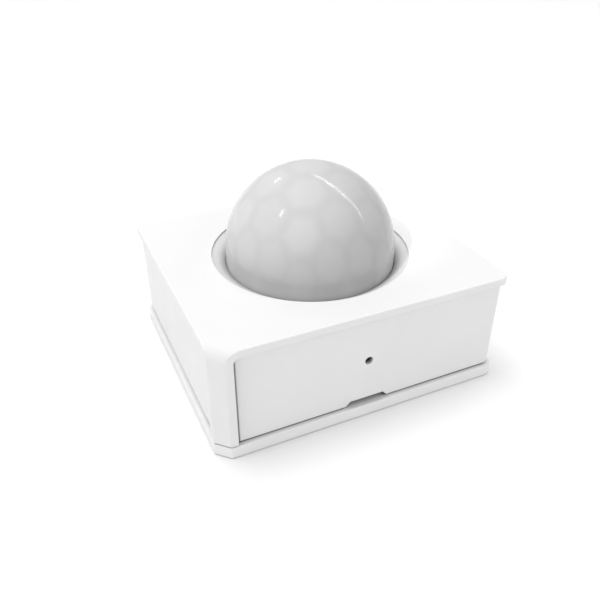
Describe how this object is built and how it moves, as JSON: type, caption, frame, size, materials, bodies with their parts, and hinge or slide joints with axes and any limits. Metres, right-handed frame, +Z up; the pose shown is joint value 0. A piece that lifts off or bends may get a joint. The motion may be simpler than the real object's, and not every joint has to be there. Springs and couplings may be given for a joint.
{
  "type": "motion sensor",
  "caption": "Compact square motion sensor: glossy half-ball lens in a flared opening of a white box with two turned-down corner legs, on a pry-off base cover.",
  "frame": {"origin": "centre of the base cover's underside", "axes": "+Z up along the dome's axis, -Y towards the wall with the button hole and pry notch, +X to the right seen from that wall"},
  "size_m": [0.04, 0.035, 0.0276],
  "materials": {
    "cover_plastic": "fine satin moulded ABS, white",
    "housing_plastic": "fine satin moulded ABS, white",
    "base_plastic": "fine satin moulded ABS, white",
    "pad_foam": "closed-cell foam tape under a paper liner",
    "lens_plastic": "glossy milky polyethylene",
    "inner_plastic": "natural moulded plastic",
    "nickel": "nickel-plated sheet",
    "filter_glass": "polished dark infrared filter",
    "ceramic": "fired ceramic",
    "gold_pin": "gold-plated wire",
    "board": "green solder mask over glass laminate",
    "screw_steel": "zinc-plated steel",
    "holder_plastic": "black moulded plastic",
    "spring_metal": "spring bronze strip",
    "cell_steel": "nickel-plated steel, lightly brushed",
    "cell_seal": "black polypropylene",
    "cell_filling": "pressed powder",
    "button_plastic": "translucent white plastic",
    "switch_black": "black moulded plastic",
    "led_resin": "clear-milky resin",
    "chip_resin": "black moulding compound",
    "capacitor_resin": "yellow moulding compound",
    "resistor_body": "black glazed chip"
  },
  "bodies": {
    "base": {"base_cover": "base_plastic", "adhesive_pad": "pad_foam"},
    "sensor": {"top_cover": "cover_plastic", "housing": "housing_plastic", "dome_lens": "lens_plastic", "lens_retainer": "inner_plastic", "pir_can": "nickel", "pir_window": "filter_glass", "pir_header": "nickel", "pir_elements": "ceramic", "pir_leads": "gold_pin", "pir_spacer": "inner_plastic", "circuit_board": "board", "board_screws": "screw_steel", "battery_holder": "holder_plastic", "positive_contact": "spring_metal", "negative_contact": "spring_metal", "switch_body": "switch_black", "switch_legs": "nickel", "status_led": "led_resin", "radio_board": "board", "radio_shield": "nickel", "chip_antenna": "ceramic", "crystal_can": "nickel", "chip_body": "chip_resin", "chip_legs": "nickel", "bulk_capacitor": "capacitor_resin", "small_resistors": "resistor_body", "small_capacitors": "ceramic"},
    "coin_cell": {"cell_can": "cell_steel", "cell_seal": "cell_seal", "cell_cap": "cell_steel", "cell_core": "cell_filling"},
    "button": {"reset_button": "button_plastic", "switch_plunger": "switch_black"}
  },
  "joints": [
    {"name": "sensor_lift", "type": "slide", "parent": "base", "child": "sensor", "axis": [0, 0, 1], "range_m": [0, 0.03]},
    {"name": "cell_out", "type": "slide", "parent": "sensor", "child": "coin_cell", "axis": [0, 0, -1], "range_m": [0, 0.012]},
    {"name": "button_press", "type": "slide", "parent": "sensor", "child": "button", "axis": [0, 1, 0], "range_m": [0, 0.00025], "stiffness_N_per_m": 800, "springref_m": -0.0002}
  ],
  "couplings": [
    {"joint": "cell_out", "follows": "sensor_lift", "ratio": 0.4}
  ]
}
